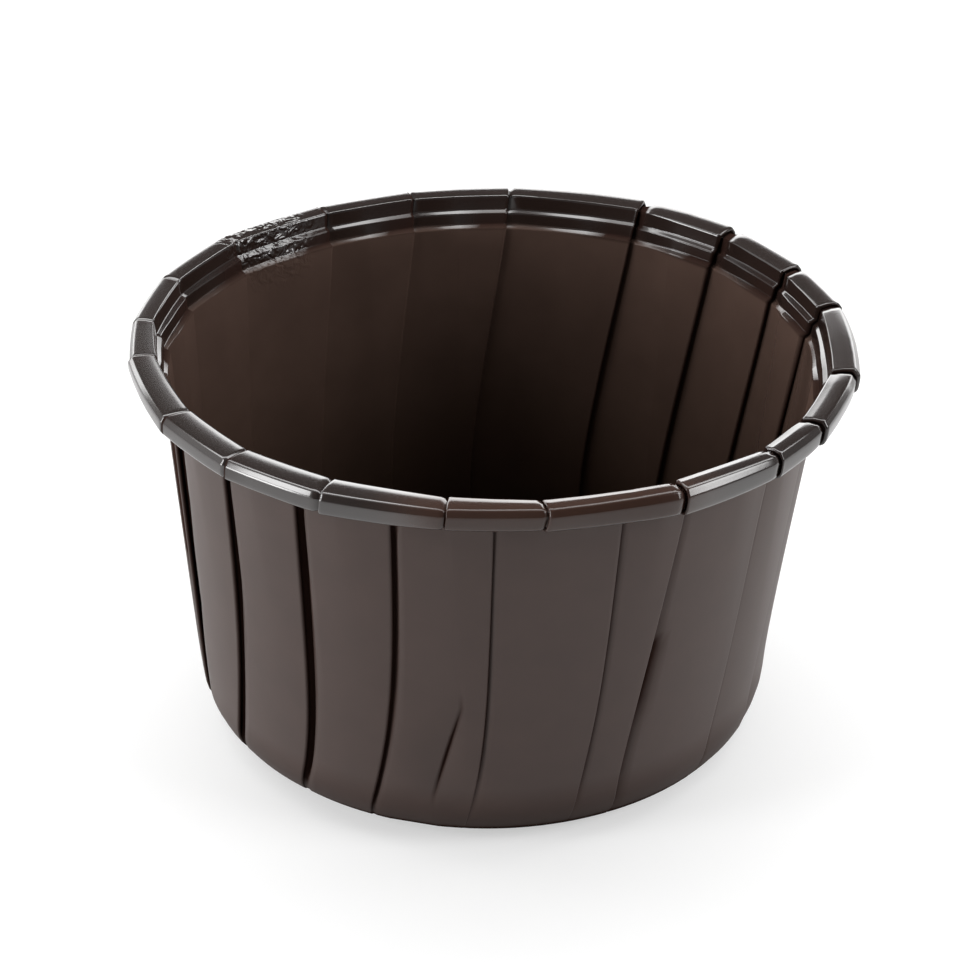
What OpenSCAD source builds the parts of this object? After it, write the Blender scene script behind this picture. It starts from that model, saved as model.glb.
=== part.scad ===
// Pleated baking cup with a rolled rim, pressed from one round sheet of paper.
// Millimetres. The base stands on z = 0 and the cup's axis is the Z axis.

/* [Cup] */
// Height from the table to the top of the rolled rim
cup_h = 39; // [34:0.5:44]
// Diameter over the rolled rim
rim_d = 66.6; // [65:0.2:69]
// Outside diameter of the wall at the crease below the rim
wall_top_d = 60.1; // [58:0.1:60.6]
// Outside diameter at which the wall's line meets the table
wall_foot_d = 53.6; // [50:0.2:57]
// Outside radius of the bend from the base to the wall
corner_r = 5.3; // [3:0.1:8]
// How far the wall leans over to -X, at most
wall_lean_w = 1.1; // [0:0.1:1.5]

/* [Paper] */
// Thickness of the paper
paper_t = 0.12; // [0.08:0.01:0.14]
// Air between two layers of a common pleat
layer_gap = 0.14; // [0.05:0.01:0.16]

/* [Pleats] */
// Number of pleats round the wall
pleat_count = 20; // [12:1:22]
// How irregular the pleats are: 0 is even, and 1 is as listed below
uneven = 1; // [0:0.1:1]
// Width of the ring on the base in which the pleats fade out
fade_w = 2.4; // [1:0.2:4]
// Width of the groove beside a fold, over which the sheet dives under the next layer
groove_w = 0.8; // [0.4:0.1:1.2]

/* [Rolled rim] */
// Width of the roll, across the rim
roll_w = 2.7; // [2.6:0.1:3]
// Height of the roll
roll_h = 2.54; // [2.4:0.02:2.8]
// Height of the rim, from the crease to the top of the roll
rim_h = 3.7; // [3.3:0.05:4]
// How square the roll's section is: 2 is an ellipse, and 4 has nearly flat sides
roll_square = 4; // [2:0.5:4]
// How far the paper turns in the roll, in degrees
roll_turn = 270; // [200:5:275]
// How flat each panel of the rim is: 0 is round, and 1 is straight from corner to corner
rim_flat = 0.6; // [0:0.1:1]

/* [Hidden] */

// Where each pleat's outer fold strays from even spacing at the rim, in parts of a pitch
STRAY = [0, -0.08, 0.08, -0.28, -0.2, -0.28, -0.33, -0.06, -0.22, -0.21,
         -0.17, 0.22, 0.22, 0.17, 0.28, 0.28, 0.17, -0.11, 0.1, 0.04];
// The width of each pleat's overlap, as a share of the mean
WIDTH = [1, 0.75, 1.45, 0.45, 0.65, 1.2, 1.15, 1, 1, 1, 1, 1, 1, 1, 1, 1, 1, 1, 1, 1];
// The air between each pleat's layers on the wall, as a share of that of a common pleat
AIR = [1.2, 0.8, 0.5, 1.1, 1.2, 1.3, 1.3, 1.1, 1.2, 1.5,
       1.2, 0.8, 0.5, 0.7, 0.6, 0.6, 0.8, 1.2, 1.3, 1.3];
// The same on the roll
RIM_AIR = [0.5, 0.4, 0.6, 1.1, 0.9, 1, 1.2, 0.8, 1, 1.4,
           1.1, 0.4, 0.1, 0.2, 0.1, 0.1, 0.1, 0.1, 0.2, 0.3];
// Whether the sheet rises in a step beside each outer fold (1), or in an even slope (0)
STEEP = [1, 1, 1, 1, 0.5, 0, 0, 0, 0, 0, 0, 0, 0, 0, 0, 0, 0.3, 1, 1, 1];
// How far each pleat turns back by the time it reaches the base, in degrees
TURN = [12, 10, 8.5, 9, 10, 10, 8, 8, 7, 6, 6, 6, 7, 7, 8, 8, 8, 9, 13, 14];
// How sharply each pleat's turning gathers towards the base
POWER = [3.7, 5.5, 3.7, 1.3, 4.5, 4.5, 4.5, 4.5, 4.5, 4.5,
         4.5, 4.5, 4.5, 4.5, 4.5, 4.5, 4.5, 4.5, 3.2, 6];
// How far the rim's corner at each pleat lies outside the true rim, in millimetres
OUT = [0.1, 0.1, 0.2, 0.5, 0.8, 0.8, 0.4, -0.1, -0.4, -0.3,
       -0.1, -0.1, 0, 0.1, 0.7, 0.5, 0.1, -0.2, -0.2, 0];
// How much wider the roll is on its inner side at each pleat, in millimetres
WIDER = [0.9, 0.65, 0.1, -0.3, -0.3, 0, 0, 0, 0, 0, 0, 0, 0, 0, 0, 0, 0, 0.4, 0.8, 0.8];
// How much lower the roll's outer side hangs at each pleat, in millimetres
LOWER = [0.25, 0.3, 0.35, 0.7, 0.6, 0.2, 0, 0, 0, 0, 0, 0, 0, 0, 0, 0, 0, 0, 0, 0.05];
// The first pleat's outer fold, round from +X
first_pleat = 254;

// How far the pleats have opened out at the base's edge, where they come from nothing
foot_share = 0.6;
// Height over which the lean builds up
lean_rise = 3;

// Rings of points along each part of the profile, and how closely those of the wall gather at its foot
corner_steps = 3;
wall_steps = 3;
wall_gather = 1.4;
roll_steps = 7;
// The two ledges between the crease and the roll, and the riser between them:
// their shares of that stretch's width and height
ledge = [0.37, 0.09];
riser = [0.13, 0.38];
// Columns of points in one pleat
columns = 8;

stack = 3 * paper_t + 2 * layer_gap;
pitch = 360 / pleat_count;
function mix(a, b, share) = a + (b - a) * share;
// A pleat's value in one of the lists, with the mean in place of it where the pleats are even
function listed(list, i, mean) = mix(mean, list[(i % pleat_count) % len(list)], uneven);

// The profile: the outer face of the outermost layer, from the base's centre to the end of the roll

crease = [wall_top_d / 2, cup_h - rim_h];
taper = atan2(crease[0] - wall_foot_d / 2, crease[1]);
flat_r = wall_foot_d / 2 - corner_r * tan(45 - taper / 2);
corner_mid = [flat_r, corner_r];

// The roll's middle, and the half axes of the paper's inner side round it
roll_mid = [(rim_d - roll_w) / 2, cup_h - roll_h / 2];
roll_axes = [roll_w / 2 - stack, roll_h / 2 - stack];
// Where round the roll it begins, and how far it has tightened at its end
roll_start = 150;
roll_end_scale = 0.85;

function squared(x) = sign(x) * pow(abs(x), 2 / roll_square);
function roll_point(s) =
    let (a = roll_start - roll_turn * s, scale = mix(1, roll_end_scale, s))
    roll_mid + scale * [roll_axes[0] * squared(cos(a)), roll_axes[1] * squared(sin(a))];
function corner_point(s) =
    let (a = -90 + (90 - taper) * s) corner_mid + corner_r * [cos(a), sin(a)];
function wall_point(s) = mix(corner_point(1), crease, pow(s, wall_gather));
function band_point(share) =
    let (band = roll_point(0) - crease) crease + [share[0] * band[0], share[1] * band[1]];
band_ends = [ledge, ledge + riser, 2 * ledge + riser];

profile = concat(
    [[0, 0], [flat_r - fade_w, 0]],
    [for (i = [0 : corner_steps]) corner_point(i / corner_steps)],
    [for (i = [1 : wall_steps]) wall_point(i / wall_steps)],
    [for (share = band_ends) band_point(share)],
    [for (i = [0 : roll_steps]) roll_point(i / roll_steps)]
);
rings = len(profile);
fade_ring = 1;
foot_ring = 2;
crease_ring = foot_ring + corner_steps + wall_steps;
roll_ring = crease_ring + len(band_ends) + 1;

// The way over the paper from the base's centre, which is the radius in the flat sheet
function way(n) = n == 0 ? 0 : way(n - 1) + norm(profile[n] - profile[n - 1]);
ways = [for (n = [0 : rings - 1]) way(n)];

// The outward normal at a ring, lengthened to keep the thickness on both sides of the bend
function unit(v) = v / norm(v);
function side_normal(n) = let (d = unit(profile[n + 1] - profile[n])) [d[1], -d[0]];
function ring_normal(n) =
    let (
        before = side_normal(max(n - 1, 0)),
        after = side_normal(min(n, rings - 2)),
        mean = unit(before + after)
    )
    mean / (mean * after);
normals = [for (n = [0 : rings - 1]) ring_normal(n)];

// The pleats: the sheet goes outside to the outer fold, back behind it to the inner fold, and on

// The width of an overlap, as an angle: the pleats take up what the flat sheet has too much
function overlap(i, n) =
    n <= foot_ring ? 0
    : listed(WIDTH, i, 1) * 180 * (ways[n] - profile[n][0]) / (pleat_count * profile[n][0]);
function turned(i, n) =
    let (up = (ways[n] - ways[foot_ring]) / (ways[crease_ring] - ways[foot_ring]))
    pow(1 - min(max(up, 0), 1), listed(POWER, i, 4.5));
function outer_fold(i, n) =
    first_pleat + pitch * (i + listed(STRAY, i, 0)) - listed(TURN, i, 8) * turned(i, n);
function inner_fold(i, n) = outer_fold(i, n) - overlap(i, n);

// The distance between a pleat's layers: none on the base, where the sheet lies flat
function step(i, n) =
    n <= fade_ring ? 0
    : (n == foot_ring ? foot_share : 1)
        * (paper_t + layer_gap * mix(listed(AIR, i, 1), listed(RIM_AIR, i, 1), rolled(n)));

// How far a ring has gone over from the wall to the roll, from 0 to 1
function rolled(n) = min(max((n - crease_ring) / (roll_ring - crease_ring), 0), 1);

// Each column's place round the cup, from inner fold i to the next pleat's folds.
// On the wall the single layer rises just after the outer fold, and on the roll it dives
// just before the inner fold, because there the paper's other side shows.
function column_angle(i, k, n) =
    let (
        from = outer_fold(i, n),
        to = inner_fold(i + 1, n),
        groove = n == 0 ? 0 : min(groove_w / profile[n][0] * 180 / PI, (to - from) / 3)
    )
    k == 0 ? inner_fold(i, n)
    : k == 1 ? from
    : k == 2 ? mix(from + groove, (from + to) / 2, rolled(n))
    : k == 3 ? mix((from + to) / 2, to - groove, rolled(n))
    : k == 4 || k == 7 ? to
    : outer_fold(i + 1, n);

// Each column's depth below the profile, for the sheet's outer side (0) and inner side (1):
// s is the distance between the layers of the pleat behind, and next that of the one ahead.
// The sheet's depth past the groove and halfway on, in layers, is given for both kinds of rise.
stepped = [0.6, 0.2];
sloping = [1.6, 0.7];
on_roll = [1.8, 1.4];
function column_depth(k, side, s, next, steep, roll_share) =
    k <= 1 ? 2 * s + side * paper_t
    : k <= 3 ? mix(mix(sloping, stepped, steep), on_roll, roll_share)[k - 2] * s + side * paper_t
    : k <= 5 ? side * paper_t
    : side == 0 ? min(next + paper_t, 2 * next) : max(next, paper_t);

// The panel that a column lies on, which is the next one past the next inner fold, and how far across it
function panel_of(i, k) = k == 5 || k == 6 ? i + 1 : i;
function across(panel, n, a) =
    (a - inner_fold(panel, n)) / (inner_fold(panel + 1, n) - inner_fold(panel, n));
// A list's value there, which changes evenly from one inner fold to the next
function between(list, panel, share) = mix(listed(list, panel, 0), listed(list, panel + 1, 0), share);

// The rim has a corner at each inner fold, and its panels run nearly straight between corners
function rim_stray(panel, n, share) =
    let (sag = profile[n][0] * (1 - cos((inner_fold(panel + 1, n) - inner_fold(panel, n)) / 2)))
    between(OUT, panel, share) - 4 * rim_flat * sag * (share * (1 - share) - 1 / 6);

// How far each ring takes part where the roll is wider on its inner side or hangs lower on its outer one
function widened(n) =
    n <= crease_ring ? 0
    : n < roll_ring ? (profile[n][0] - crease[0]) / (profile[roll_ring][0] - crease[0])
    : max(roll_mid[0] - profile[n][0], 0) / (roll_mid[0] - profile[roll_ring][0]);
function lowered(n) = n <= roll_ring || profile[n][0] < roll_mid[0] && profile[n][1] > roll_mid[1] ? 0
    : min((cup_h - profile[n][1]) / roll_h, 1);

// The wall isn't true either: it leans over most a little above the base
function lean(z) = -wall_lean_w * (1 - z / cup_h) * (1 - exp(-z / lean_rise));

function sheet_point(i, k, n, side) =
    let (
        half = (side == 0 ? 1 : -1) * paper_t / 2,
        a = column_angle(i, k, n) + (n == 0 ? 0 : half / profile[n][0] * 180 / PI),
        depth = column_depth(k, side, step(i, n), step(i + 1, n), listed(STEEP, i, 1), rolled(n)),
        p = profile[n] - normals[n] * depth,
        panel = panel_of(i, k),
        share = n <= foot_ring ? 0 : across(panel, n, a),
        stray = n <= foot_ring ? 0 : rim_stray(panel, n, share) * pow(p[1] / cup_h, 3),
        r = p[0] + stray - widened(n) * between(WIDER, panel, share),
        z = p[1] - lowered(n) * between(LOWER, panel, share)
    )
    n == 0 ? [0, 0, z] : [r * cos(a) + lean(z), r * sin(a), z];

ring_size = pleat_count * columns;
points = [for (side = [0, 1], n = [0 : rings - 1], c = [0 : ring_size - 1])
    sheet_point(floor(c / columns), c % columns, n, side)];

function index(side, n, c) = (side * rings + n) * ring_size + c % ring_size;

// Two triangles between four points; the middle layer runs backwards, so its diagonal is the other one
function quad(ll, ul, ur, lr, backwards) =
    backwards ? [[ll, ul, ur], [ll, ur, lr]] : [[ll, ul, lr], [ul, ur, lr]];
function side_quad(side, n, c) =
    quad(index(side, n, c), index(side, n + 1, c), index(side, n + 1, c + 1), index(side, n, c + 1),
         c % columns == columns - 2);
function flipped(f) = [f[0], f[2], f[1]];
function real(f) =
    points[f[0]] != points[f[1]] && points[f[1]] != points[f[2]] && points[f[2]] != points[f[0]];

outer_faces = [for (n = [0 : rings - 2], c = [0 : ring_size - 1]) each side_quad(0, n, c)];
inner_faces = [for (n = [0 : rings - 2], c = [0 : ring_size - 1], f = side_quad(1, n, c)) flipped(f)];
edge_faces = [for (c = [0 : ring_size - 1])
    each quad(index(0, rings - 1, c), index(1, rings - 1, c), index(1, rings - 1, c + 1),
              index(0, rings - 1, c + 1), false)];
faces = [for (f = concat(outer_faces, inner_faces, edge_faces)) if (real(f)) f];

module liner() {
    color("#463832")
        polyhedron(points = points, faces = faces, convexity = 10);
}

liner();
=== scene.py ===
"""Pleated baking cup with a rolled rim: the folded paper in full detail, on a white table in soft light."""

import math

import bmesh
import bpy
import numpy as np
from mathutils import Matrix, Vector


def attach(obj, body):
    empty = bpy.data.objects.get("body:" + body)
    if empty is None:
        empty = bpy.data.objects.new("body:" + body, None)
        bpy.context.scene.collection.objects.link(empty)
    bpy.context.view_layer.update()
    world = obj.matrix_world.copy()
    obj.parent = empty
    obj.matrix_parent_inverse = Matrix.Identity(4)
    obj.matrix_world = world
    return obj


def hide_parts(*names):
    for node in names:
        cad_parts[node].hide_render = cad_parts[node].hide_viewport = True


MM = 0.001

# The folded sheet's sizes, which are those of the CAD solid
CUP_HEIGHT = 39.0 * MM
RIM_DIAMETER = 66.6 * MM
WALL_TOP_DIAMETER = 60.1 * MM
WALL_FOOT_DIAMETER = 53.6 * MM
CORNER_RADIUS = 5.3 * MM
# How far to the left the wall stands just above the base, and the height over which it gets there
WALL_LEAN = 1.1 * MM
LEAN_RISE = 3.0 * MM
# The paper's thickness, and the air between a common pleat's layers
PAPER = 0.12 * MM
LAYER_GAP = 0.14 * MM
PLEATS = 20
# How wide the ring of the base is in which the pleats start, and how far they have unfolded at its edge
FADE_WIDTH = 2.4 * MM
LEAST_OPENING = 0.12
ROLL_WIDTH = 2.7 * MM
ROLL_HEIGHT = 2.54 * MM
RIM_HEIGHT = 3.7 * MM
# The roll's section: its turn and its start in degrees, its end's size as a share, and how square it is
ROLL_TURN = 270.0
ROLL_START = 150.0
ROLL_END_SCALE = 0.85
ROLL_SQUARENESS = 4.0
# The two flats on the roll's outer and inner top edge: each one's slope outwards in degrees, and how far it
# lies from the roll's middle
ROLL_FLATS = ((50.0, 1.4 * MM), (-14.0, 1.26 * MM))
# How flat the rim is between its corners, from 0 (round) to 1, and how fast its strays fade down the wall
RIM_FLATNESS = 0.6
STRAY_FADE = 3
# The two steps between the crease and the roll: each one's ledge and riser, outwards and up
LEDGE = np.array([0.46, 0.25]) * MM
RISER = np.array([0.16, 1.1]) * MM
# The direction of the first pleat's outer fold at the rim, in degrees
FIRST_PLEAT = 254.0
# Where each pleat strays from even spacing at the rim, in parts of a pitch
STRAY = [0, -0.08, 0.08, -0.28, -0.2, -0.28, -0.33, -0.06, -0.22, -0.21]
STRAY += [-0.17, 0.22, 0.22, 0.17, 0.28, 0.28, 0.17, -0.11, 0.1, 0.04]
# The width of each pleat's overlap, as a share of the mean
WIDTH = [1, 0.75, 1.45, 0.45, 0.65, 1.2, 1.15, 1, 1, 1, 1, 1, 1, 1, 1, 1, 1, 1, 1, 1]
# The air between each pleat's layers, as a share of that of a common pleat
AIR = [1.2, 0.8, 0.5, 1.1, 1.2, 1.3, 1.3, 1.1, 1.2, 1.5]
AIR += [1.2, 0.8, 0.5, 0.7, 0.6, 0.6, 0.8, 1.2, 1.3, 1.3]
# The same on the rolled rim
RIM_AIR = [0.5, 0.4, 0.6, 1.1, 0.9, 1.0, 1.2, 0.8, 1.0, 1.4]
RIM_AIR += [1.1, 0.4, 0.1, 0.2, 0.1, 0.1, 0.1, 0.1, 0.2, 0.3]
# The air from which a fold on the rolled rim starts to get painted shade
DARK_AIR = 0.1
# How far each pleat turns back by the time it reaches the base, in degrees
TURN = [12, 10, 8.5, 9, 10, 10, 8, 8, 7, 6, 6, 6, 7, 7, 8, 8, 8, 9, 13, 14]
# How sharply each pleat's turning gathers towards the base
POWER = [3.7, 5.5, 3.7, 1.3, 4.5, 4.5, 4.5, 4.5, 4.5, 4.5, 4.5, 4.5, 4.5, 4.5, 4.5, 4.5, 4.5, 4.5, 3.2, 6]
# The height at which each pleat has opened out in full, in millimetres
OPENING = [6, 13, 11, 6, 6, 6, 6, 6, 6, 6, 6, 6, 6, 6, 6, 6, 6, 6, 6.5, 6.5]
# How far the rim's corner at each pleat lies outside the true rim, in millimetres
OUT = [0.1, 0.1, 0.2, 0.5, 0.8, 0.8, 0.4, -0.1, -0.4, -0.3]
OUT += [-0.1, -0.1, 0, 0.1, 0.7, 0.5, 0.1, -0.2, -0.2, 0]
# How much wider the roll is on its inner side at each pleat, in millimetres
WIDER = [0.9, 0.65, 0.1, -0.3, -0.3, 0, 0, 0, 0, 0, 0, 0, 0, 0, 0, 0, 0, 0.4, 0.8, 0.8]
# How much lower the roll's outer side hangs at each pleat, in millimetres
LOWER = [0.25, 0.3, 0.35, 0.7, 0.6, 0.2, 0, 0, 0, 0, 0, 0, 0, 0, 0, 0, 0, 0, 0, 0.05]
# How far the foot of the roll's outer side is tucked in at each pleat, in millimetres
TUCKED = [0.15, 0.5, 0.5, 0.2, 0, 0, 0, 0, 0, 0, 0, 0, 0, 0, 0, 0, 0, 0, 0, 0]
# How far below the rim's top the tuck starts
TUCK_START = 0.7 * MM
# The pleats whose edges are pressed flush with the roll, how dark the shade painted on those edges is and how
# fast that fades
FLUSH_PLEATS = range(12, 20)
FLUSH_DARK = 0.8
FLUSH_FADE = 15
# The pleat whose overlap is in its own shade, and how dark that is at the top of the wall
SHADED_PLEAT = 17
SHADE_DARK = 0.9
# How wide the sheet stays sunk beside each outer fold at the top of the wall, in millimetres
GROOVE_TOP = [0.4, 0.25, 0.3, 0.3, 0.3, 0.4, 0.5, 0.6, 0.7, 0.9]
GROOVE_TOP += [0.8, 0.5, 0.4, 0.5, 0.5, 0.5, 0.6, 2.8, 0.7, 0.8]
# The same near the base
GROOVE_FOOT = [0.5, 0.25, 0.3, 0.9, 0.3, 0.4, 0.5, 0.6, 0.7, 0.8]
GROOVE_FOOT += [0.7, 0.5, 0.4, 0.5, 0.5, 0.5, 0.6, 0.6, 0.8, 0.7]
# How dark the shade painted in each fold's groove is
GROOVE_DARK = [0.9, 0.5, 0.5, 1, 0.5, 0.5, 0.5, 0.5, 0.5, 0.5, 0.5, 0.5, 0.5, 0.5, 0.5, 0.5, 0.5, 1, 1, 1]
# How far a pleat is unfolded where the shade painted in its groove starts, and where it is as dark as it gets
DARK_OPENINGS = (0.3, 0.8)
# How squarely a groove ends, on the wall and on the roll
GROOVE_SQUARENESS = 6
RIM_GROOVE_SQUARENESS = 4
# One fold is creased: its groove is faint above a height, gapes below it, and closes again towards the base
CREASED_FOLD = 3
CREASE_TOP = 22.5 * MM
CREASE_FOOT = 6 * MM
CREASE_WIDTH = 1.1 * MM
# How wide that groove is and how dark its painted shade is where it is faint, and the heights over which each
# of them grows
FAINT_WIDTH = 0.2 * MM
FAINT_DARK = 0.3
WIDTH_RISE = 2.5 * MM
DARK_RISE = 2 * MM
# A short crease runs across one panel: its heights, the angles where it is there, its width and its depth
SHORT_CREASE_PANEL = 0
SHORT_CREASE_HEIGHTS = (5.5 * MM, 17 * MM)
SHORT_CREASE_ANGLES = (260.8, 266.5)
SHORT_CREASE_WIDTH = 0.36 * MM
SHORT_CREASE_DEPTH = 0.3 * MM
# How blunt its ends are, how near it comes to the panel's folds, as shares of the panel, and which of the
# panel's columns are its near side and its middle
SHORT_CREASE_BLUNTNESS = 0.7
SHORT_CREASE_SHARES = (0.3, 0.92)
SHORT_CREASE_COLUMNS = (5, 7)
# How much of the sheet's way out there is in a steep rise beside the groove, from 0 (an even slope) to 1
STEEP = [1, 1, 1, 1, 0.5, 0, 0, 0, 0, 0, 0, 0, 0, 0, 0, 0, 0.3, 1, 1, 1]
# What a steep rise leaves to the slope after it, in layers out of two, and how hollow an even slope is
SLOPE_AFTER = 0.6
SLOPE_HOLLOW = 1.5
# How much deeper than the pleat behind it the sheet sinks there at the top of the wall, in millimetres
DIP_TOP = [0.3, 0.1, 0, 0, 0, 0, 0, 0, 0, 0]
DIP_TOP += [0, 0, 0, 0, 0, 0, 0.1, 0.3, 0.5, 0.4]
# The same near the base
DIP_FOOT = [0.2, 0, 0, 0.7, 0, 0, 0, 0, 0, 0]
DIP_FOOT += [0, 0, 0, 0, 0, 0, 0.1, 0.3, 0.4, 0.3]
# How far from the fold the dip is as deep as it gets
DIP_START = 0.1 * MM
# How wide the sheet sinks beside each inner fold on the roll, in millimetres
RIM_GROOVE = [0.3, 0.3, 0.25, 0.35, 0.4, 0.5, 0.5, 0.7, 1.1, 1.4]
RIM_GROOVE += [1.1, 0.4, 0.2, 0.2, 0.2, 0.15, 0.12, 0.12, 0.12, 0.12]
# How far the sheet falls back towards such a fold, in layers
RIM_FALL = 0.6

STACK = 3 * PAPER + 2 * LAYER_GAP
PITCH = 360 / PLEATS
CREASE_HEIGHT = CUP_HEIGHT - RIM_HEIGHT
# The middle of the roll's section, outwards and up
ROLL_MIDDLE = np.array([(RIM_DIAMETER - ROLL_WIDTH) / 2, CUP_HEIGHT - ROLL_HEIGHT / 2])

# How finely the sheet is cut up: steps along each stretch of the profile, and columns across one pleat
BASE_STEPS = 2
FADE_STEPS = 4
CORNER_STEPS = 8
WALL_STEPS = 18
BEND_STEPS = 4
ROLL_STEPS = 28
LAYER_SHARES = (0.0, 0.04, 0.5)
OUTER_LAYER_SHARES = (0.0, 0.5, 0.96)
PANEL_COLUMNS = 10
TURN_COLUMNS = 4
# How the wall's rings crowd towards the base, and a panel's columns towards the fold
WALL_CROWDING = 1.2
PANEL_CROWDING = 1.7
# How far from its point a pressed bend starts to round
BEND_ROUNDING = 0.12 * MM
# Points that meet are joined, and nothing is divided by a radius, a width or a step that is less than these
WELD_DISTANCE = 0.002 * MM
LEAST_SPAN = MM
LEAST_STEP = 1e-9

# The camera, worked out from the outlines of the rim, wall and base in the photograph
CAMERA_ELEVATION = 30.2
CAMERA_DISTANCE = 256.5 * MM
CAMERA_LENS = 99.3
CAMERA_SHIFT = (-0.001, 0.0218)
CAMERA_TARGET = Vector((0, 0, 19.6 * MM))
CAMERA_NEAR = 10 * MM

# The colours, in sRGB hex: the dull outside, the shade painted in its folds' grooves and the shadow painted
# along the edge of its base
OUTSIDE_BROWN = "42332e"
FOLD_SHADE_BROWN = "2c1e1a"
BASE_SHADOW_BROWN = "0c0706"
# The inside near the rim and deep down, where shade is painted, and the curl where it is dark and where a
# warm brown is painted on its front in place of its reflection of the dim room
INSIDE_BROWN = "4e3e37"
INSIDE_DEEP_SHADE = "32261f"
CURL_DARK = "231a17"
CURL_PAINTED_WARM = "3c2a23"
# The table's colour, its own glow, and its width in metres
TABLE_GREY = "c4c4c4"
TABLE_GLOW = 0.5
TABLE_WIDTH = 4

# Real paper fibres are about a tenth of this size, so they are drawn as coarse as they need to be to show
FIBRE_SIZE = 0.35 * MM
FIBRE_RELIEF = 0.015 * MM
FIBRE_STRENGTH = 0.12
# The size of the mottle, how far it lightens and darkens, and where most values of a noise texture lie
MOTTLE_SIZE = 4 * MM
MOTTLE = 0.06
NOISE_RANGE = (0.3, 0.7)
PAPER_IOR = 1.5
OUTSIDE_ROUGHNESS = 0.5
INSIDE_ROUGHNESS = 0.15
# How much painted shade the paper takes where it has lost all its shine
DULL_MARK = 0.7
# The shine of the outside, the inside wall and the curl, and the share of it that the curl's front keeps
# where it is painted dull
OUTSIDE_SHINE = 0.4
WALL_SHINE = 0.1
CURL_SHINE = 1.0
FRONT_SHINE = 0.4
# The heights between which the outside's shine comes in above the base's painted shadow, the shade painted
# deep inside the wall lifts, and the inside turns from the wall's look to the curl's
SHINE_HEIGHTS = (2 * MM, 7 * MM)
INSIDE_HEIGHTS = (6 * MM, 33 * MM)
CURL_HEIGHTS = (CREASE_HEIGHT + 0.1 * MM, CREASE_HEIGHT + 0.7 * MM)
# The two shadows painted along the edge of the base: how high each one reaches, and how dark it is
BASE_SHADES = ((2.2 * MM, 1.0), (6.0 * MM, 0.3))
# The middle of the patch painted dull and warm on the curl's front in place of its reflection of the dim
# room, and how far from there each look starts to fade and is gone
FRONT_OF_CURL = (5.5 * MM, -33 * MM, 37.5 * MM)
DULL_REACH = (9 * MM, 14 * MM)
WARM_REACH = (10 * MM, 17 * MM)
# The crumpled coating: its middle, how far from there it starts to fade and is gone, and its creases
CRUMPLE_PLACE = (-21.5 * MM, 21.5 * MM, 38.2 * MM)
CRUMPLE_REACH = (3.5 * MM, 6.5 * MM)
CRUMPLE_SIZE = 1.0 * MM
CRUMPLE_RELIEF = 0.25 * MM

# The lamps, in metres: each one's name, place, the point that it faces, width and height, and radiance
LAMPS = (
    ("ledge_strip", (0, 0.035, 0.17), (0, 0.02, 0.037), (0.5, 0.05), 5.0),
    ("back_strip", (0, 0.3, 0.09), (0, -0.03, 0.06), (0.8, 0.13), 4.0),
    ("left_strip", (-0.44, -0.16, 0.09), (-0.017, -0.028, 0.02), (0.15, 0.16), 11),
    ("left_spot", (-0.37, -0.15, 0.25), (-0.017, -0.028, 0.038), (0.11, 0.1), 9),
    ("right_strip", (0.38, -0.145, 0.255), (0.02, -0.025, 0.038), (0.19, 0.21), 7.2),
)
# The room's dim sides: which way each one's middle lies, the cosines of the angles from there at which the
# dimming starts and is full, and the light that is left
DIM_SIDES = (
    ((0.0, -0.82, 0.57), (0.5, 0.8), 0.15),
    ((0.0, 0.95, 0.3), (0.35, 0.75), 0.15),
    ((0.96, -0.2, 0.2), (0.1, 0.9), 0.3),
)


def linear(hex_colour):
    """The linear RGBA colour of an sRGB hex string."""
    channels = [int(hex_colour[i : i + 2], 16) / 255 for i in (0, 2, 4)]
    return [c / 12.92 if c <= 0.04045 else ((c + 0.055) / 1.055) ** 2.4 for c in channels] + [1.0]


# The profile has two faces: the stack's outer face, which the roll hides, and its inner one, which shows.


def corner_curve(flat_radius, taper, share):
    """The bend from the base to the wall."""
    angle = np.radians(-90 + (90 - taper) * share)
    return np.stack([flat_radius + CORNER_RADIUS * np.cos(angle), CORNER_RADIUS * (1 + np.sin(angle))], 1)


def roll_curve(share, depth):
    """The roll's section, a rounded rectangle, at a depth in the stack of layers."""
    angle = np.radians(ROLL_START - ROLL_TURN * share)
    scale = 1 - (1 - ROLL_END_SCALE) * share
    half = np.array([ROLL_WIDTH, ROLL_HEIGHT]) / 2 - STACK + depth
    way = np.stack([np.cos(angle), np.sin(angle)], 1)
    out = scale[:, None] * half * np.sign(way) * np.abs(way) ** (2 / ROLL_SQUARENESS)
    for slope, reach in ROLL_FLATS:
        facing = np.array([math.sin(math.radians(slope)), math.cos(math.radians(slope))])
        beyond = np.maximum(out @ facing - scale * (reach - STACK + depth), 0)
        out = out - beyond[:, None] * facing
    return ROLL_MIDDLE + out


def steps(count):
    """Shares from just after 0 to 1."""
    return np.arange(1, count + 1) / count


def normals_of(points):
    """The outward normals, lengthened where the line bends so that a layer keeps its thickness."""
    sides = np.diff(points, axis=0)
    sides = np.stack([sides[:, 1], -sides[:, 0]], 1) / np.linalg.norm(sides, axis=1)[:, None]
    before = np.concatenate([sides[:1], sides])
    after = np.concatenate([sides, sides[-1:]])
    mean = (before + after) / np.linalg.norm(before + after, axis=1)[:, None]
    return mean / (mean * after).sum(1)[:, None]


def rounded(points):
    """The bends of a line of points, each as a small curve, without the line's two ends."""
    curves = []
    share = (np.arange(BEND_STEPS) / (BEND_STEPS - 1))[:, None]
    for before, bend, after in zip(points, points[1:], points[2:]):
        first = bend + (before - bend) / np.linalg.norm(before - bend) * BEND_ROUNDING
        last = bend + (after - bend) / np.linalg.norm(after - bend) * BEND_ROUNDING
        curves.append((1 - share) ** 2 * first + 2 * share * (1 - share) * bend + share**2 * last)
    return np.concatenate(curves)


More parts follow.
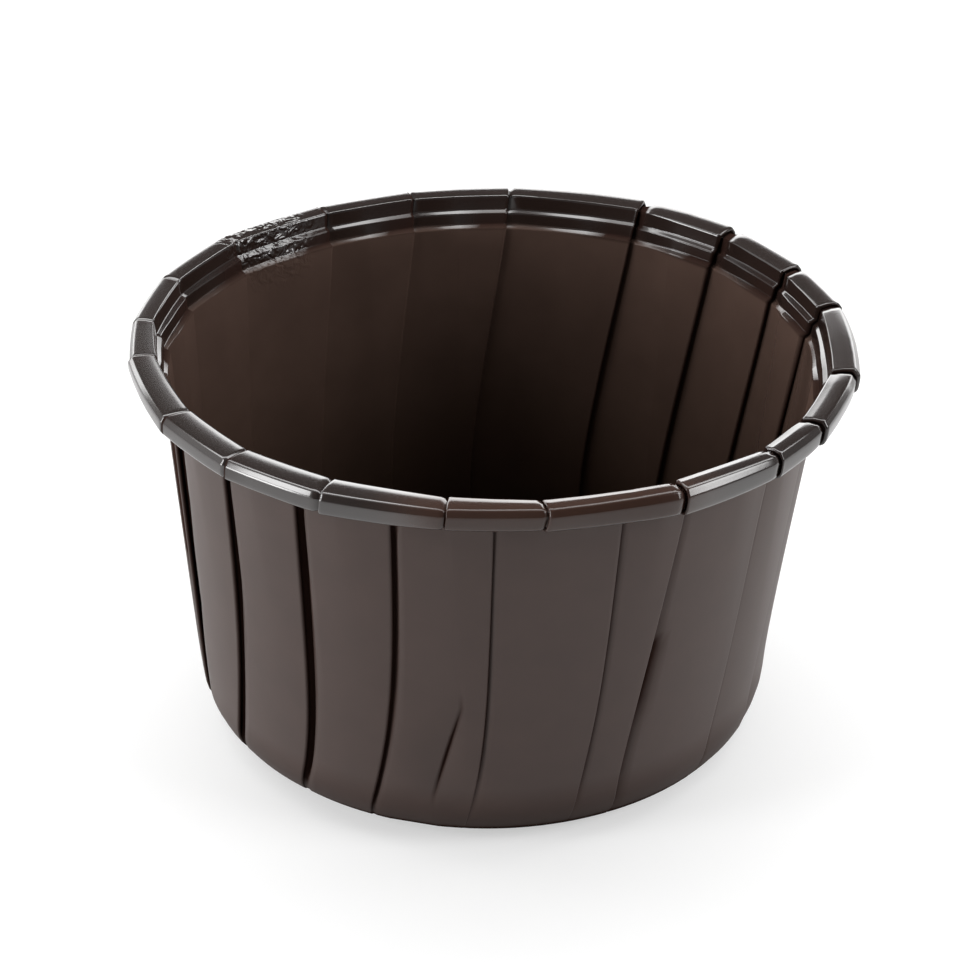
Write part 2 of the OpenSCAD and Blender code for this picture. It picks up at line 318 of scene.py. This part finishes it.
def roll_changes(outer_face, wall_rings, crease_out, roll_out):
    """How much of the roll's widening, lowering and tuck each ring takes."""
    middle_out, middle_height = ROLL_MIDDLE
    out, height = outer_face.T
    start = len(outer_face) - ROLL_STEPS
    widened = np.clip((out - crease_out) / (roll_out - crease_out), 0, 1)
    widened[:wall_rings] = 0
    widened[start:] = np.clip((middle_out - out[start:]) / (0.5 * (middle_out - roll_out)), 0, 1)
    hanging = (out >= middle_out) | (height < middle_height)
    hanging[:start] = False
    lowered = np.minimum((CUP_HEIGHT - height) / ROLL_HEIGHT, 1) * hanging
    tucked = np.clip((CUP_HEIGHT - TUCK_START - height) / (ROLL_HEIGHT - TUCK_START), 0, 1) * hanging
    return widened, lowered, tucked


def make_profile():
    """The rings of both faces, and how unfolded, rolled, widened, lowered and tucked in each ring is."""
    crease = np.array([WALL_TOP_DIAMETER / 2, CREASE_HEIGHT])
    taper = math.degrees(math.atan2(crease[0] - WALL_FOOT_DIAMETER / 2, crease[1]))
    flat_radius = WALL_FOOT_DIAMETER / 2 - CORNER_RADIUS * math.tan(math.radians(45 - taper / 2))
    fade_radius = flat_radius - FADE_WIDTH
    base = np.stack([fade_radius * np.append(0, steps(BASE_STEPS)), np.zeros(BASE_STEPS + 1)], 1)
    fade = np.stack([fade_radius + FADE_WIDTH * steps(FADE_STEPS), np.zeros(FADE_STEPS)], 1)
    corner = corner_curve(flat_radius, taper, steps(CORNER_STEPS))
    wall = corner[-1] + (steps(WALL_STEPS)[:-1] ** WALL_CROWDING)[:, None] * (crease - corner[-1])
    lower = np.concatenate([base, fade, corner, wall])
    inner_lower = lower - normals_of(lower) * STACK

    band = np.cumsum([crease, LEDGE, RISER, LEDGE], axis=0)
    roll = roll_curve(np.append(0, steps(ROLL_STEPS)), 0)
    inner_roll = roll_curve(np.append(0, steps(ROLL_STEPS)), STACK)
    line = np.concatenate([lower[-1:], band, roll[:2]])
    inner_line = line - normals_of(line) * STACK
    inner_line[-2:] = inner_roll[:2]

    outer_face = np.concatenate([lower, rounded(line), roll[1:]])
    inner_face = np.concatenate([inner_lower, rounded(inner_line), inner_roll[1:]])
    share = np.clip(outer_face[:, 1:] / (np.array(OPENING) * MM), 0, 1)
    unfolded = LEAST_OPENING + (1 - LEAST_OPENING) * share**2 * (3 - 2 * share)
    unfolded[: BASE_STEPS + 1] = 0
    unfolded[BASE_STEPS + 1 : BASE_STEPS + FADE_STEPS + 1] *= steps(FADE_STEPS)[:, None]
    bends = BEND_STEPS * (len(band) + 1)
    rolled = np.concatenate([np.zeros(len(lower)), steps(bends), np.ones(ROLL_STEPS)])
    changes = roll_changes(outer_face, len(lower), crease[0], roll[0, 0])
    return outer_face, inner_face, unfolded, rolled, *changes


# The pleats: the sheet goes outside to the outer fold, back behind it to the inner fold, and on.


def fold_angles(radius, way, up):
    """Each pleat's outer and inner fold at each ring, in degrees, with the first pleat again at the end."""
    heads = FIRST_PLEAT + PITCH * (np.arange(PLEATS) + np.array(STRAY))
    outer = heads[None, :] - np.array(TURN)[None, :] * (1 - up)[:, None] ** np.array(POWER)[None, :]
    spare = np.maximum(way / radius - 1, 0)
    inner = outer - 180 * spare[:, None] / PLEATS * np.array(WIDTH)
    outer = np.concatenate([outer, outer[:, :1] + 360], 1)
    return outer, np.concatenate([inner, inner[:, :1] + 360], 1)


def groove_width(pleat, up, height):
    """How wide the groove beside an outer fold is."""
    if pleat == CREASED_FOLD:
        gaping = np.clip((CREASE_TOP - height) / WIDTH_RISE, 0, 1)
        closing = np.clip((height - CREASE_FOOT) / (CREASE_TOP - CREASE_FOOT), 0, 1)
        return FAINT_WIDTH + CREASE_WIDTH * gaping * closing
    return (GROOVE_FOOT[pleat] + (GROOVE_TOP[pleat] - GROOVE_FOOT[pleat]) * up) * MM


def groove_dark(pleat, height):
    """How dark the groove beside an outer fold is."""
    if pleat == CREASED_FOLD:
        return FAINT_DARK + (1 - FAINT_DARK) * np.clip((CREASE_TOP - height) / DARK_RISE, 0, 1)
    return np.full_like(height, GROOVE_DARK[pleat])


def beside(distance, reach, squareness):
    """A share that is 1 at a fold and has fallen away at a reach from it."""
    return np.exp(-((distance / reach) ** squareness))


def panel_depth(share, width, up, rolled, pleat, here, ahead, groove):
    """A single layer's depth on its way from under one pleat to over the next, on the wall and the roll."""
    dip = (DIP_FOOT[pleat] + (DIP_TOP[pleat] - DIP_FOOT[pleat]) * up) * MM
    rise = (2 - SLOPE_AFTER) * here + dip * np.minimum(share * width / DIP_START, 1)
    sunk = beside(share * width, groove, GROOVE_SQUARENESS) * (1 - share)
    stepped = SLOPE_AFTER * here * (1 - share) ** 2 + rise * sunk
    on_wall = STEEP[pleat] * stepped + (1 - STEEP[pleat]) * 2 * here * (1 - share) ** SLOPE_HOLLOW
    after = (pleat + 1) % PLEATS
    sunk = beside((1 - share) * width, RIM_GROOVE[after] * MM, RIM_GROOVE_SQUARENESS) * share
    fall = RIM_FALL * min(RIM_AIR[after], 1)
    on_roll = 2 * here * (1 - share) + ahead * share * (2 - fall * share) - (2 - fall) * ahead * sunk
    return on_wall * (1 - rolled) + on_roll * rolled


def short_crease(height, here_out, next_in):
    """Where the short crease lies across its panel, as a share of it, and how open it is at each height."""
    angle = np.interp(height, SHORT_CREASE_HEIGHTS, SHORT_CREASE_ANGLES)
    share = np.clip((angle - here_out) / (next_in - here_out), *SHORT_CREASE_SHARES)
    low, high = SHORT_CREASE_HEIGHTS
    along = np.clip((height - low) / (high - low), 0, 1)
    return share, np.sin(math.pi * along) ** SHORT_CREASE_BLUNTNESS


def sheet_columns(radius, height, up, unfolded, rolled, outer, inner):
    """The middle of the sheet, ring by ring: the angle in degrees, the depth, and how much painted shade it
    takes.
    """
    degree = np.radians(1) * radius
    air = np.array(AIR) + (np.array(RIM_AIR) - np.array(AIR)) * rolled[:, None]
    layers = (PAPER + LAYER_GAP * air) * unfolded
    layers = np.concatenate([layers, layers[:, :1]], 1)
    dark_from, dark_full = DARK_OPENINGS
    open_wall = np.clip((unfolded - dark_from) / (dark_full - dark_from), 0, 1)
    rim_black = np.clip(np.array(RIM_AIR) - DARK_AIR, 0, 1)
    crease_side, crease_middle = SHORT_CREASE_COLUMNS
    columns = []
    for pleat in range(PLEATS):
        after = (pleat + 1) % PLEATS
        here_out, next_in, next_out = outer[:, pleat], inner[:, pleat + 1], outer[:, pleat + 1]
        here, ahead = layers[:, pleat], layers[:, pleat + 1]
        turn = np.minimum(ahead / 2, (next_out - next_in) * degree / 2) / degree
        here_turn = np.minimum(here / 2, (here_out - inner[:, pleat]) * degree / 2) / degree

        # The deepest layer, from under the inner fold to beside the outer one
        start = inner[:, pleat] + here_turn
        for s in LAYER_SHARES:
            # On the roll the edges of the flush pleats get painted shade
            edge = max(FLUSH_DARK - FLUSH_FADE * s, 0) if pleat in FLUSH_PLEATS else 0
            columns.append((start + (here_out - start) * s, 2 * here, 1 - rolled + rolled * edge))

        # The panel's single layer, from the outer fold of one pleat to the inner fold of the next
        width = (next_in - here_out) * degree
        groove = groove_width(pleat, up, height)
        crease, gape = short_crease(height, here_out, next_in)
        for column in range(PANEL_COLUMNS):
            s = column / PANEL_COLUMNS
            on_wall = np.full_like(radius, s**PANEL_CROWDING)
            dent = 0
            if pleat == SHORT_CREASE_PANEL and column >= crease_side:
                side = (column - crease_middle) / (crease_middle - crease_side)
                on_wall = np.clip(crease + side * SHORT_CREASE_WIDTH / np.maximum(width, LEAST_SPAN), 0, 1)
                dent = gape * max(1 - abs(side), 0)
            share = on_wall * (1 - rolled) + (1 - (1 - s) ** PANEL_CROWDING) * rolled
            dent = dent * (1 - rolled)
            angle = here_out + (next_in - here_out) * share
            depth = panel_depth(share, width, up, rolled, pleat, here, ahead, groove) * unfolded[:, pleat]
            # Painted shade, nearly black, in the groove beside the outer fold, in the short crease and beside
            # the inner fold on the roll
            wall_mark = STEEP[pleat] * beside(share * width, groove, GROOVE_SQUARENESS) * open_wall[:, pleat]
            wall_mark = np.maximum(wall_mark * groove_dark(pleat, height), dent)
            rim_mark = beside((1 - share) * width, RIM_GROOVE[after] * MM, RIM_GROOVE_SQUARENESS)
            mark = wall_mark * (1 - rolled) + rim_mark * rim_black[after] * rolled
            columns.append((angle, depth + dent * SHORT_CREASE_DEPTH, mark))

        # The next pleat's outer layer
        for s in OUTER_LAYER_SHARES:
            # The shaded pleat's overlap gets painted shade at the top of the wall
            shade = SHADE_DARK if after == SHADED_PLEAT and s > 0 else 0
            angle = next_in + (next_out - turn - next_in) * s
            columns.append((angle, 0 * ahead, shade * np.sqrt(up) * (1 - rolled)))

        # Its outer fold
        # The outer fold's round edge takes its groove's painted shade
        dark = open_wall[:, after] * groove_dark(after, height)
        for s in np.arange(TURN_COLUMNS) / TURN_COLUMNS:
            angle = next_out - turn + turn * math.sin(math.pi * s)
            mark = math.sin(math.pi * s / 2) * (dark * (1 - rolled) + rolled)
            columns.append((angle, ahead / 2 * (1 - math.cos(math.pi * s)), mark))

        # Its middle layer
        for s in LAYER_SHARES:
            angle = next_out - turn + (next_in - next_out + 2 * turn) * s
            columns.append((angle, ahead, np.ones_like(radius)))

        # Its inner fold
        for s in np.arange(TURN_COLUMNS) / TURN_COLUMNS:
            # On the roll the inner fold's edge gets painted shade
            edge = FLUSH_DARK if after in FLUSH_PLEATS else (1 - s) * rim_black[after]
            angle = next_in + turn - turn * math.sin(math.pi * s)
            columns.append((angle, ahead * (1.5 - math.cos(math.pi * s) / 2), (1 - rolled) + rolled * edge))
    off_base = np.clip(unfolded[:, :1] / LEAST_OPENING, 0, 1)
    angles, depths, pressed = (np.stack(values, 1) for values in zip(*columns))
    return angles, depths, pressed * off_base


def rim_strays(angle, inner, radius):
    """How far the rim lies outside a circle, and how much wider, lower and more tucked its roll is."""
    lists = [np.append(values, values[0]) * MM for values in (OUT, WIDER, LOWER, TUCKED)]
    strays = np.zeros((4, *angle.shape))
    for ring in range(len(angle)):
        a = (angle[ring] - inner[ring, 0]) % 360 + inner[ring, 0]
        pleat = np.clip(np.searchsorted(inner[ring], a, "right") - 1, 0, PLEATS - 1)
        span = inner[ring, pleat + 1] - inner[ring, pleat]
        share = (a - inner[ring, pleat]) / span
        sag = radius[ring] * (1 - np.cos(np.radians(span / 2)))
        for stray, values in zip(strays, lists):
            stray[ring] = values[pleat] + (values[pleat + 1] - values[pleat]) * share
        # Each panel sags between its corners as a parabola whose mean is nothing
        strays[0, ring] -= 4 * RIM_FLATNESS * sag * (share * (1 - share) - 1 / 6)
    return strays


def side_ways(angles, depths, radius):
    """Which way the sheet's first side faces at each point, along the ring and in depth."""
    ahead, behind = np.roll(angles, -1, 1), np.roll(angles, 1, 1)
    ahead[:, -1] += 360
    behind[:, 0] -= 360
    along = np.radians(ahead - behind) * radius
    inward = np.roll(depths, -1, 1) - np.roll(depths, 1, 1)
    length = np.hypot(along, inward)
    still = length < LEAST_STEP
    length = np.maximum(length, LEAST_STEP)
    return np.where(still, 0, inward / length), np.where(still, -1, -along / length)


def sheet_sides():
    """The points of the paper's outside and of its inside, and how much painted shade the sheet takes at
    them.
    """
    outer_face, inner_face, unfolded, rolled, widened, lowered, tucked = make_profile()
    radius = np.maximum(outer_face[:, 0], LEAST_SPAN)
    way = np.concatenate([[0], np.cumsum(np.linalg.norm(np.diff(outer_face, axis=0), axis=1))])
    foot = BASE_STEPS + FADE_STEPS
    wall_top = foot + CORNER_STEPS + WALL_STEPS
    up = np.clip((way - way[foot]) / (way[wall_top] - way[foot]), 0, 1)
    outer, inner = fold_angles(radius, way, up)
    angles, depths, pressed = sheet_columns(radius, outer_face[:, 1], up, unfolded, rolled, outer, inner)
    radius = radius[:, None]
    side_along, side_depth = side_ways(angles, depths, radius)

    sides = []
    for half in (PAPER / 2, -PAPER / 2):
        angle = angles + np.degrees(side_along * half / radius)
        share = (depths + PAPER / 2 + side_depth * half) / STACK
        r = outer_face[:, :1] + (inner_face - outer_face)[:, :1] * share
        z = outer_face[:, 1:] + (inner_face - outer_face)[:, 1:] * share
        out, wider, lower, tuck = rim_strays(angle, inner, radius[:, 0])
        r += out * (z / CUP_HEIGHT) ** STRAY_FADE - wider * widened[:, None] - tuck * tucked[:, None]
        z -= lower * lowered[:, None]
        r[0] = 0
        z[0] = z[0].mean()
        a = np.radians(angle)
        lean = -WALL_LEAN * (1 - z / CUP_HEIGHT) * (1 - np.exp(-z / LEAN_RISE))
        sides.append(np.stack([r * np.cos(a) + lean, r * np.sin(a), z], 2))
    return sides, pressed


def sheet_faces(rings, columns):
    """The faces of the paper's outside, of its inside, and of the cut edge between them."""
    count = rings * columns
    number = np.arange(count).reshape(rings, columns)
    after = np.roll(number, -1, 1)
    outside = np.stack([number[:-1], after[:-1], after[1:], number[1:]], 2).reshape(-1, 4)
    inside = np.stack([number[:-1], number[1:], after[1:], after[:-1]], 2).reshape(-1, 4) + count
    edge = np.stack([number[-1], after[-1], after[-1] + count, number[-1] + count], 1)
    return outside, inside, edge


def make_cup():
    """The whole folded sheet as a closed mesh: slot 0 is the paper's outside, slot 1 its inside."""
    sides, pressed = sheet_sides()
    outside, inside, edge = sheet_faces(*pressed.shape)
    mesh = bpy.data.meshes.new("folded_paper")
    faces = np.concatenate([outside, inside, edge])
    mesh.from_pydata(np.concatenate(sides).reshape(-1, 3).tolist(), [], faces.tolist())
    slots = np.concatenate([np.zeros(len(outside)), np.ones(len(inside)), np.zeros(len(edge))])
    mesh.polygons.foreach_set("material_index", slots.astype(int))
    mesh.polygons.foreach_set("use_smooth", np.ones(len(faces), bool))
    # The painted shade of the folds, kept on the points for the materials
    mark = mesh.attributes.new("pressed", "FLOAT", "POINT")
    mark.data.foreach_set("value", np.tile(pressed.ravel(), 2))
    work = bmesh.new()
    work.from_mesh(mesh)
    bmesh.ops.remove_doubles(work, verts=work.verts, dist=WELD_DISTANCE)
    work.to_mesh(mesh)
    work.free()
    cup = bpy.data.objects.new("folded_paper_cup", mesh)
    bpy.context.scene.collection.objects.link(cup)
    return cup


def add_node(tree, kind, settings=None, inputs=None):
    """Adds a node with its settings, and its inputs, each a value or another node's output."""
    node = tree.nodes.new(kind)
    for name, value in (settings or {}).items():
        setattr(node, name, value)
    for name, value in (inputs or {}).items():
        if isinstance(value, bpy.types.NodeSocket):
            tree.links.new(value, node.inputs[name])
        else:
            node.inputs[name].default_value = value
    return node


def new_material(name):
    """An empty node material and its tree."""
    material = bpy.data.materials.new(name)
    material.use_nodes = True
    material.node_tree.nodes.clear()
    return material, material.node_tree


def near(tree, place, middle, reach):
    """A mask that is 1 up to one distance from a point and 0 from another one on."""
    way = add_node(
        tree, "ShaderNodeVectorMath", settings={"operation": "DISTANCE"}, inputs={0: place, 1: middle}
    ).outputs["Value"]
    full, none = reach
    return add_node(
        tree,
        "ShaderNodeMapRange",
        settings={"interpolation_type": "SMOOTHSTEP"},
        inputs={"Value": way, "From Min": full, "From Max": none, "To Min": 1.0, "To Max": 0.0},
    ).outputs["Result"]


def by_height(tree, place, heights, values, change="LINEAR"):
    """A value that changes from one to another between two heights above the table."""
    height = add_node(tree, "ShaderNodeSeparateXYZ", inputs={"Vector": place}).outputs["Z"]
    low, high = heights
    first, last = values
    return add_node(
        tree,
        "ShaderNodeMapRange",
        settings={"interpolation_type": change},
        inputs={"Value": height, "From Min": low, "From Max": high, "To Min": first, "To Max": last},
    ).outputs["Result"]


def laid_over(tree, colour, *coats):
    """A colour with others laid over it in turn, each by its own share from 0 to 1."""
    for share, coat in coats:
        under, over = (linear(c)[:3] if isinstance(c, str) else c for c in (colour, coat))
        colour = add_node(
            tree, "ShaderNodeMix", settings={"data_type": "VECTOR"}, inputs={0: share, 4: under, 5: over}
        ).outputs[1]
    return colour


def pressed_mark(tree):
    """How much shade is painted at each place, in the folds' grooves and on the rim's folds, from 0 to 1."""
    return add_node(tree, "ShaderNodeAttribute", settings={"attribute_name": "pressed"}).outputs["Fac"]


def paper_material(name, roughness, specular_of, colour_of, relief_of=None):
    """Brown paper with a faint mottle, fine fibres and a satin coating, which is dull where shade is painted.
    """
    material, tree = new_material(name)
    place = add_node(tree, "ShaderNodeTexCoord").outputs["Object"]
    fibres, mottle = (
        add_node(
            tree, "ShaderNodeTexNoise", inputs={"Vector": place, "Scale": 1 / size, "Detail": detail}
        ).outputs["Fac"]
        for size, detail in ((FIBRE_SIZE, 4.0), (MOTTLE_SIZE, 3.0))
    )
    tone = add_node(
        tree,
        "ShaderNodeMapRange",
        inputs={
            "Value": mottle,
            "From Min": NOISE_RANGE[0],
            "From Max": NOISE_RANGE[1],
            "To Min": 1 - MOTTLE,
            "To Max": 1 + MOTTLE,
        },
    ).outputs["Result"]
    tinted = add_node(
        tree,
        "ShaderNodeVectorMath",
        settings={"operation": "SCALE"},
        inputs={0: colour_of(tree, place), "Scale": tone},
    ).outputs["Vector"]
    relief = add_node(
        tree,
        "ShaderNodeBump",
        inputs={"Strength": FIBRE_STRENGTH, "Distance": FIBRE_RELIEF, "Height": fibres},
    ).outputs["Normal"]
    if relief_of:
        relief = relief_of(tree, place, relief)
    # The shine is taken away where shade is painted, so that it stays dark
    satin = add_node(
        tree,
        "ShaderNodeMapRange",
        inputs={
            "Value": pressed_mark(tree),
            "From Min": 0.0,
            "From Max": DULL_MARK,
            "To Min": specular_of(tree, place),
            "To Max": 0.0,
        },
    ).outputs["Result"]
    paper = add_node(
        tree,
        "ShaderNodeBsdfPrincipled",
        inputs={
            "Base Color": tinted,
            "Roughness": roughness,
            "IOR": PAPER_IOR,
            "Specular IOR Level": satin,
            "Normal": relief,
        },
    )
    add_node(tree, "ShaderNodeOutputMaterial", inputs={"Surface": paper.outputs["BSDF"]})
    return material


def outside_colour(tree, place):
    """A dull brown, with shade painted nearly black in the folds' grooves and a shadow painted along the edge
    of the base.
    """
    dark = 0.0
    for top, most in BASE_SHADES:
        low = by_height(tree, place, (top / 3, top), (most, 0.0), "SMOOTHSTEP")
        dark = add_node(
            tree, "ShaderNodeMath", settings={"operation": "MAXIMUM"}, inputs={0: dark, 1: low}
        ).outputs["Value"]
    # Painted shade in the folds' grooves and a painted shadow along the edge of the base
    return laid_over(tree, OUTSIDE_BROWN, (pressed_mark(tree), FOLD_SHADE_BROWN), (dark, BASE_SHADOW_BROWN))


def outside_specular(tree, place):
    """The outside's faint shine, of which the bend to the base, under its painted shadow, has none."""
    return by_height(tree, place, SHINE_HEIGHTS, (0.0, OUTSIDE_SHINE))


def inside_specular(tree, place):
    """The inside's shine, strong where the coating was stretched over the rim, weaker where the curl's front
    is painted dull in place of its reflection of the dim room.
    """
    # The curl's front is painted dull, in place of its reflection of the dim room
    front = near(tree, place, FRONT_OF_CURL, DULL_REACH)
    kept = add_node(
        tree, "ShaderNodeMapRange", inputs={"Value": front, "To Min": 1.0, "To Max": FRONT_SHINE}
    ).outputs["Result"]
    shine = by_height(tree, place, CURL_HEIGHTS, (WALL_SHINE, CURL_SHINE))
    return add_node(
        tree, "ShaderNodeMath", settings={"operation": "MULTIPLY"}, inputs={0: shine, 1: kept}
    ).outputs["Value"]


def inside_colour(tree, place):
    """Dark brown, with painted shade deep down, darker on the stretched rim, with a warm patch painted at the
    front of the curl in place of its reflection of the dim room, and painted shade in the curl's folds.
    """
    # A warm brown painted on the curl's front, in place of its reflection of the dim room
    front = near(tree, place, FRONT_OF_CURL, WARM_REACH)
    rim = laid_over(tree, CURL_DARK, (front, CURL_PAINTED_WARM))
    # Shade painted deep down in the cup, lifting towards the rim
    rise = by_height(tree, place, INSIDE_HEIGHTS, (0.0, 1.0))
    wall = laid_over(tree, INSIDE_DEEP_SHADE, (rise, INSIDE_BROWN))
    curl = by_height(tree, place, CURL_HEIGHTS, (0.0, 1.0))
    # Painted shade in the curl's folds
    curl_fold_shade = add_node(
        tree, "ShaderNodeMath", settings={"operation": "MULTIPLY"}, inputs={0: curl, 1: pressed_mark(tree)}
    ).outputs["Value"]
    return laid_over(tree, wall, (curl, rim), (curl_fold_shade, FOLD_SHADE_BROWN))


def crumple(tree, place, relief):
    """The crumpled coating on the rim at the back left."""
    creases = add_node(
        tree,
        "ShaderNodeTexNoise",
        inputs={"Vector": place, "Scale": 1 / CRUMPLE_SIZE, "Detail": 2.0, "Distortion": 0.8},
    ).outputs["Fac"]
    where = near(tree, place, CRUMPLE_PLACE, CRUMPLE_REACH)
    return add_node(
        tree,
        "ShaderNodeBump",
        inputs={"Strength": where, "Distance": CRUMPLE_RELIEF, "Height": creases, "Normal": relief},
    ).outputs["Normal"]


def table_material():
    """Matt white paper sweep, whose own glow shows as the pale background and lights nothing."""
    material, tree = new_material("white_paper_sweep")
    ray = add_node(tree, "ShaderNodeLightPath")
    seen = ray.outputs["Is Camera Ray"]
    for kind in ("Is Glossy Ray", "Is Transmission Ray"):
        seen = add_node(
            tree, "ShaderNodeMath", settings={"operation": "MAXIMUM"}, inputs={0: seen, 1: ray.outputs[kind]}
        ).outputs["Value"]
    glow = add_node(
        tree, "ShaderNodeMath", settings={"operation": "MULTIPLY"}, inputs={0: seen, 1: TABLE_GLOW}
    ).outputs["Value"]
    matt = add_node(tree, "ShaderNodeBsdfDiffuse", inputs={"Color": linear(TABLE_GREY)})
    light = add_node(tree, "ShaderNodeEmission", inputs={"Strength": glow})
    both = add_node(
        tree, "ShaderNodeAddShader", inputs={0: matt.outputs["BSDF"], 1: light.outputs["Emission"]}
    )
    add_node(tree, "ShaderNodeOutputMaterial", inputs={"Surface": both.outputs["Shader"]})
    return material


# The studio is a white table in a pale room, with soft lamps over, behind and on both sides of the cup.


def add_table():
    """A white table under the cup."""
    bpy.ops.mesh.primitive_plane_add(size=TABLE_WIDTH)
    table = bpy.context.object
    table.name = "table"
    table.data.materials.append(table_material())


def add_softbox(name, place, aim, size, radiance):
    """A rectangular lamp of a given brightness that faces a point."""
    lamp = bpy.data.lights.new(name, "AREA")
    lamp.shape = "RECTANGLE"
    lamp.size, lamp.size_y = size
    lamp.energy = radiance * math.pi * size[0] * size[1]
    softbox = bpy.data.objects.new(name, lamp)
    softbox.location = place
    softbox.rotation_euler = (Vector(aim) - Vector(place)).to_track_quat("-Z", "Y").to_euler()
    bpy.context.scene.collection.objects.link(softbox)


def add_room():
    """The room's light: white all round, but dim towards the camera, behind the cup and on its right."""
    world = bpy.data.worlds.new("studio")
    world.use_nodes = True
    tree = world.node_tree
    tree.nodes.clear()
    way = add_node(tree, "ShaderNodeTexCoord").outputs["Generated"]
    light = 1.0
    for aim, (start, full), least in DIM_SIDES:
        facing = add_node(
            tree, "ShaderNodeVectorMath", settings={"operation": "DOT_PRODUCT"}, inputs={0: way, 1: aim}
        ).outputs["Value"]
        dimmed = add_node(
            tree,
            "ShaderNodeMapRange",
            settings={"interpolation_type": "SMOOTHSTEP"},
            inputs={"Value": facing, "From Min": start, "From Max": full, "To Min": 1.0, "To Max": least},
        ).outputs["Result"]
        light = add_node(
            tree, "ShaderNodeMath", settings={"operation": "MULTIPLY"}, inputs={0: light, 1: dimmed}
        ).outputs["Value"]
    room = add_node(tree, "ShaderNodeBackground", inputs={"Color": (1, 1, 1, 1), "Strength": light})
    add_node(tree, "ShaderNodeOutputWorld", inputs={"Surface": room.outputs["Background"]})
    bpy.context.scene.world = world


def add_studio():
    """The lamps and the room."""
    for name, place, aim, size, radiance in LAMPS:
        add_softbox(name, place, aim, size, radiance)
    add_room()
    bpy.context.scene.view_settings.view_transform = "Standard"


def add_camera():
    """The photograph's view."""
    lens = bpy.data.cameras.new("camera")
    lens.lens = CAMERA_LENS
    lens.shift_x, lens.shift_y = CAMERA_SHIFT
    lens.clip_start = CAMERA_NEAR
    camera = bpy.data.objects.new("camera", lens)
    rise = math.radians(CAMERA_ELEVATION)
    camera.location = CAMERA_TARGET + CAMERA_DISTANCE * Vector((0, -math.cos(rise), math.sin(rise)))
    camera.rotation_euler = (CAMERA_TARGET - camera.location).to_track_quat("-Z", "Y").to_euler()
    bpy.context.scene.collection.objects.link(camera)
    bpy.context.scene.camera = camera


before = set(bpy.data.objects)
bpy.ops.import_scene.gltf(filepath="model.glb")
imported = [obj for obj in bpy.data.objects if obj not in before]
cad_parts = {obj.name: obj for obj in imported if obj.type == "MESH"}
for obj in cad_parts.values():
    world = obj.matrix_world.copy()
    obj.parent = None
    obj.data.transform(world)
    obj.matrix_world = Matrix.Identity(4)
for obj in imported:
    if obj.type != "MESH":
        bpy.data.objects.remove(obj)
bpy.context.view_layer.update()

cup = make_cup()
# The outside is matt and greyed, which gives the wall its dull, dark brown
outside = paper_material("greaseproof_paper_outside", OUTSIDE_ROUGHNESS, outside_specular, outside_colour)
cup.data.materials.append(outside)
# The inside is coated, which gives the rim its thin bright lines; the warmer brown at the curl's front is
# painted
inside = paper_material("coated_paper_inside", INSIDE_ROUGHNESS, inside_specular, inside_colour, crumple)
cup.data.materials.append(inside)
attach(cup, "root")
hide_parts("liner")

add_table()
add_studio()
add_camera()
